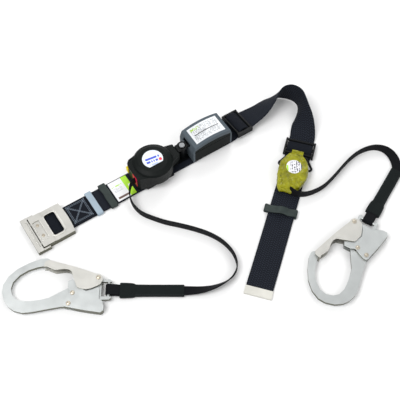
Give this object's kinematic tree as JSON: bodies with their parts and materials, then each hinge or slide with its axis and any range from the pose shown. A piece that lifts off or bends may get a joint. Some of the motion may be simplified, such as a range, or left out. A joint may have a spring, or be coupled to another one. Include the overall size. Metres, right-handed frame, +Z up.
{
  "type": "shock absorbing lanyard",
  "caption": "Waist belt with alloy buckle, a reel that winds in one lanyard, a boxed shock absorber and a second pouch absorber lanyard; both lanyards end in large hooks.",
  "frame": {"origin": "middle of the box round the rigid parts (the lanyard tapes left out), on the floor that the set lies on", "axes": "+X along the longest side of the layout, +Y towards the turn of the belt, +Z up from the floor"},
  "size_m": [0.7452, 0.4802, 0.0545],
  "materials": {
    "webbing_navy": "matte fine weave",
    "webbing_black": "matte weave",
    "webbing_patch": "matte weave with stitching",
    "alloy": "satin",
    "steel": "fine brushed",
    "bright_steel": "polished",
    "reel_black": "fine texture",
    "slider_black": "satin",
    "keeper_blue": "matte",
    "keeper_rubber": "matte",
    "absorber_shell": "satin",
    "absorber_body": "satin",
    "label_white": "printed film",
    "red": "gloss",
    "yellow": "gloss",
    "film_yellow": "glossy film",
    "sleeve": "matte",
    "tip": "matte",
    "hidden_plastic": "moulded"
  },
  "bodies": {
    "belt_set": {"belt_left": "webbing_navy", "belt_turn": "webbing_navy", "belt_right": "webbing_navy", "stitch_patch": "webbing_patch", "belt_tip": "tip", "belt_label": "label_white", "sewn_keeper": "keeper_blue", "buckle_frame": "alloy", "buckle_cover": "alloy", "buckle_rivets": "steel", "release_springs": "steel", "reel_bracket": "reel_black", "reel_lower_shell": "reel_black", "reel_upper_shell": "reel_black", "reel_screws": "steel", "reel_shaft": "steel", "reel_power_spring": "steel", "reel_pawl_pin": "steel", "reel_mouth": "red", "reel_sticker": "label_white", "link_post": "bright_steel", "link_ring": "reel_black", "absorber_base": "absorber_body", "absorber_cover": "absorber_shell", "absorber_label": "label_white", "tear_webbing": "webbing_black", "slider_1_frame": "slider_black", "slider_1_webbing": "webbing_navy", "slider_2_frame": "slider_black", "slider_2_webbing": "webbing_navy", "d_ring": "slider_black", "pouch_cover": "film_yellow", "pouch_webbing": "webbing_black", "tape_1": "webbing_black", "loop_1": "webbing_black", "sleeve_1": "sleeve", "tape_2": "webbing_black", "loop_2": "webbing_black", "sleeve_2": "sleeve"},
    "keeper_left": {"keeper_left": "keeper_rubber"},
    "keeper_right": {"keeper_right": "keeper_rubber"},
    "release": {"release_plate": "alloy", "slide_bar": "steel"},
    "spool": {"reel_drum": "hidden_plastic", "reel_tape_roll": "webbing_black", "reel_ratchet": "steel"},
    "pawl": {"reel_pawl": "steel"},
    "lock_button": {"reel_lock_button": "yellow"},
    "hook_1": {"hook_1_frame": "alloy", "hook_1_pins": "bright_steel", "hook_1_springs": "steel"},
    "hook_1_gate": {"hook_1_gate": "alloy"},
    "hook_1_lever": {"hook_1_lever": "alloy", "hook_1_stop_pin": "bright_steel"},
    "hook_2": {"hook_2_frame": "alloy", "hook_2_pins": "bright_steel", "hook_2_springs": "steel"},
    "hook_2_gate": {"hook_2_gate": "alloy"},
    "hook_2_lever": {"hook_2_lever": "alloy", "hook_2_stop_pin": "bright_steel"}
  },
  "joints": [
    {"name": "keeper_left_slide", "type": "slide", "parent": "belt_set", "child": "keeper_left", "axis": [0.8387, 0.5446, 0], "range_m": [-0.012, 0.02]},
    {"name": "keeper_right_slide", "type": "slide", "parent": "belt_set", "child": "keeper_right", "axis": [-0.2672, -0.9636, 0], "range_m": [-0.02, 0.14]},
    {"name": "release_slide", "type": "slide", "parent": "belt_set", "child": "release", "axis": [-0.8387, -0.5446, 0], "range_m": [0, 0.005], "stiffness_N_per_m": 600},
    {"name": "spool_turn", "type": "hinge", "parent": "belt_set", "child": "spool", "pos_m": [-0.08812, 0.05588, 0.024], "axis": [0, 0, 1], "continuous": true},
    {"name": "lock_button_push", "type": "slide", "parent": "belt_set", "child": "lock_button", "axis": [0.8387, 0.5446, 0], "range_m": [0, 0.003], "stiffness_N_per_m": 400},
    {"name": "pawl_swing", "type": "hinge", "parent": "belt_set", "child": "pawl", "pos_m": [-0.12271, 0.0513, 0.037], "axis": [0, 0, 1], "range_deg": [0, 8]},
    {"name": "hook_1_swing", "type": "hinge", "parent": "belt_set", "child": "hook_1", "pos_m": [-0.1605, -0.1955, 0.0085], "axis": [0, 1, 0], "range_deg": [0, 90]},
    {"name": "hook_1_gate_turn", "type": "hinge", "parent": "hook_1", "child": "hook_1_gate", "pos_m": [-0.179, -0.175, 0.0085], "axis": [0, 0, 1], "range_deg": [0, 20], "stiffness_Nm_per_rad": 0.12, "springref_deg": -20.05},
    {"name": "hook_1_lever_turn", "type": "hinge", "parent": "hook_1", "child": "hook_1_lever", "pos_m": [-0.229, -0.2235, 0.0085], "axis": [0, 0, 1], "range_deg": [0, 10], "stiffness_Nm_per_rad": 0.4, "springref_deg": -11.46},
    {"name": "hook_2_swing", "type": "hinge", "parent": "belt_set", "child": "hook_2", "pos_m": [0.31615, -0.05694, 0.0085], "axis": [-0.8526, 0.5225, 0], "range_deg": [0, 90]},
    {"name": "hook_2_gate_turn", "type": "hinge", "parent": "hook_2", "child": "hook_2_gate", "pos_m": [0.289, -0.062, 0.0085], "axis": [0, 0, 1], "range_deg": [0, 20], "stiffness_Nm_per_rad": 0.12, "springref_deg": -20.05},
    {"name": "hook_2_lever_turn", "type": "hinge", "parent": "hook_2", "child": "hook_2_lever", "pos_m": [0.30423, -0.12997, 0.0085], "axis": [0, 0, 1], "range_deg": [0, 10], "stiffness_Nm_per_rad": 0.4, "springref_deg": -11.46}
  ],
  "couplings": [
    {"joint": "pawl_swing", "follows": "lock_button_push", "rad_per_m": 46.5}
  ]
}
